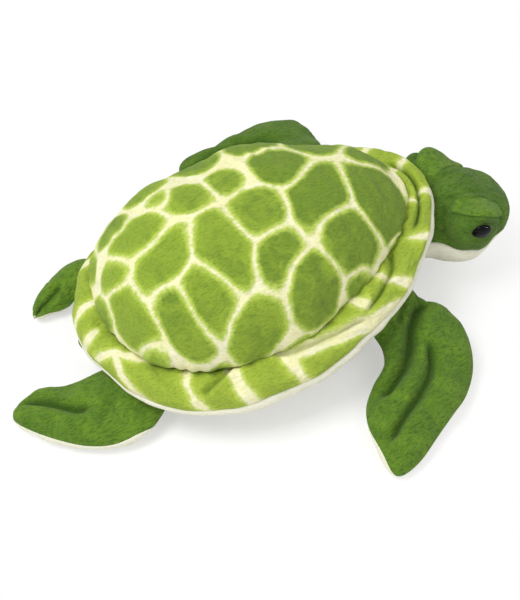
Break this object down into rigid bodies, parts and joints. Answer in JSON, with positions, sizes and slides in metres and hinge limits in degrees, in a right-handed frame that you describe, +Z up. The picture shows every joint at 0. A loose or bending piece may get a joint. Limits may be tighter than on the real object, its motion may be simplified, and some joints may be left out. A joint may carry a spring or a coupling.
{
  "type": "plush turtle",
  "caption": "Stuffed plush sea turtle lying on its belly, with a puffed shell and brim, and a head, flippers and tail that bend at their seams.",
  "frame": {"origin": "on the floor, on the flat of the belly under the middle of the shell", "axes": "+X forward through the head, +Y to the turtle's left, +Z up"},
  "size_m": [0.3268, 0.2782, 0.101],
  "materials": {
    "green_plush": "short dark green pile, soft and matt",
    "printed_plush": "short pile printed with yellow-green rounded cells and cream lines",
    "cream_plush": "short cream pile, matt",
    "polyester_filling": "white loose polyester fibre",
    "eye_plastic": "polished black",
    "washer_plastic": "plain moulded white"
  },
  "bodies": {
    "body": {"carapace_dome": "printed_plush", "carapace_rim": "printed_plush", "rim_underside": "cream_plush", "rim_filling": "polyester_filling", "belly_panel": "cream_plush", "body_filling": "polyester_filling"},
    "head": {"head_cover": "green_plush", "chin_panel": "cream_plush", "head_filling": "polyester_filling", "eyelid_left": "green_plush", "eyelid_right": "green_plush", "eye_left": "eye_plastic", "eye_right": "eye_plastic", "eye_washer_left": "washer_plastic", "eye_washer_right": "washer_plastic"},
    "front_flipper_right": {"front_flipper_right_top": "green_plush", "front_flipper_right_underside": "cream_plush", "front_flipper_right_filling": "polyester_filling"},
    "front_flipper_left": {"front_flipper_left_top": "green_plush", "front_flipper_left_underside": "cream_plush", "front_flipper_left_filling": "polyester_filling"},
    "rear_flipper_right": {"rear_flipper_right_top": "green_plush", "rear_flipper_right_underside": "cream_plush", "rear_flipper_right_filling": "polyester_filling"},
    "rear_flipper_left": {"rear_flipper_left_top": "green_plush", "rear_flipper_left_underside": "cream_plush", "rear_flipper_left_filling": "polyester_filling"},
    "tail": {"tail_top": "green_plush", "tail_underside": "cream_plush"}
  },
  "joints": [
    {"name": "head_nod", "type": "hinge", "parent": "body", "child": "head", "pos_m": [0.08678, -0.01079, 0.037], "axis": [0, 1, 0], "range_deg": [-5, 15]},
    {"name": "front_flipper_right_flap", "type": "hinge", "parent": "body", "child": "front_flipper_right", "pos_m": [0.06023, -0.03586, 0.02956], "axis": [-0.7984, -0.6021, 0], "range_deg": [-20, 12]},
    {"name": "front_flipper_left_flap", "type": "hinge", "parent": "body", "child": "front_flipper_left", "pos_m": [0.06023, 0.03586, 0.02956], "axis": [0.7984, -0.6021, 0], "range_deg": [-20, 12]},
    {"name": "rear_flipper_right_flap", "type": "hinge", "parent": "body", "child": "rear_flipper_right", "pos_m": [-0.07793, -0.02666, 0.01389], "axis": [-0.5344, 0.8452, 0], "range_deg": [-20, 5]},
    {"name": "rear_flipper_left_flap", "type": "hinge", "parent": "body", "child": "rear_flipper_left", "pos_m": [-0.07061, 0.03589, 0.01472], "axis": [0.6985, 0.7156, 0], "range_deg": [-20, 5]},
    {"name": "tail_flap", "type": "hinge", "parent": "body", "child": "tail", "pos_m": [-0.08477, 0.00995, 0.01312], "axis": [0.2053, 0.9787, 0], "range_deg": [-20, 20]}
  ]
}
